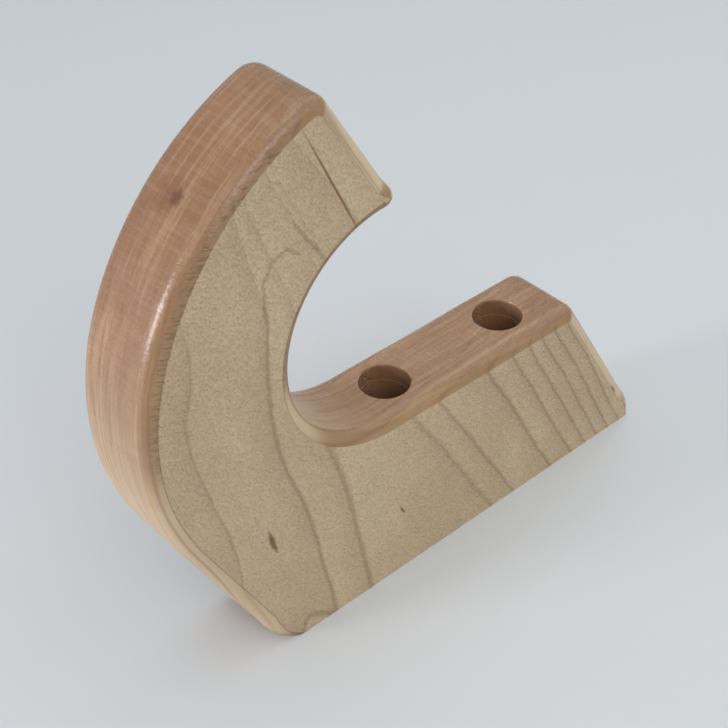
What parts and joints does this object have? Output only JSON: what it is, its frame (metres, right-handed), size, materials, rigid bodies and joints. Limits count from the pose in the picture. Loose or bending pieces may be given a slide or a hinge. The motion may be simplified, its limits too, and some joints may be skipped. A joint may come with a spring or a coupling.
{
  "type": "wall guitar hanger",
  "caption": "C-shaped maple hook that holds an electric guitar's body against a wall, with counterbored holes, wood screws and washers.",
  "frame": {"origin": "middle of the hook's length and thickness, on the face that meets the wall", "axes": "+Z away from the wall; +X along the foot, from the hook's curved back towards the foot's free end, which is up in use; Y through the board's thickness"},
  "size_m": [0.1592, 0.0232, 0.1438],
  "materials": {
    "maple": "sanded maple with a thin satin oil",
    "zinc_plate": "bright zinc plate"
  },
  "bodies": {
    "hook": {"hook": "maple"},
    "lower_washer": {"lower_washer": "zinc_plate"},
    "lower_screw": {"lower_screw": "zinc_plate"},
    "upper_washer": {"upper_washer": "zinc_plate"},
    "upper_screw": {"upper_screw": "zinc_plate"}
  },
  "joints": [
    {"name": "lower_feed", "type": "slide", "parent": "hook", "child": "lower_washer", "axis": [0, 0, -1], "range_m": [0, 0.0215]},
    {"name": "lower_turn", "type": "hinge", "parent": "lower_washer", "child": "lower_screw", "pos_m": [-0.00421, 0, 0], "axis": [0, 0, -1], "range_deg": [0, 3970]},
    {"name": "upper_feed", "type": "slide", "parent": "hook", "child": "upper_washer", "axis": [0, 0, -1], "range_m": [0, 0.0215]},
    {"name": "upper_turn", "type": "hinge", "parent": "upper_washer", "child": "upper_screw", "pos_m": [0.03459, 0, 0], "axis": [0, 0, -1], "range_deg": [0, 3970]}
  ],
  "couplings": [
    {"joint": "lower_turn", "follows": "lower_feed", "rad_per_m": 3222.1},
    {"joint": "upper_turn", "follows": "upper_feed", "rad_per_m": 3222.1}
  ]
}
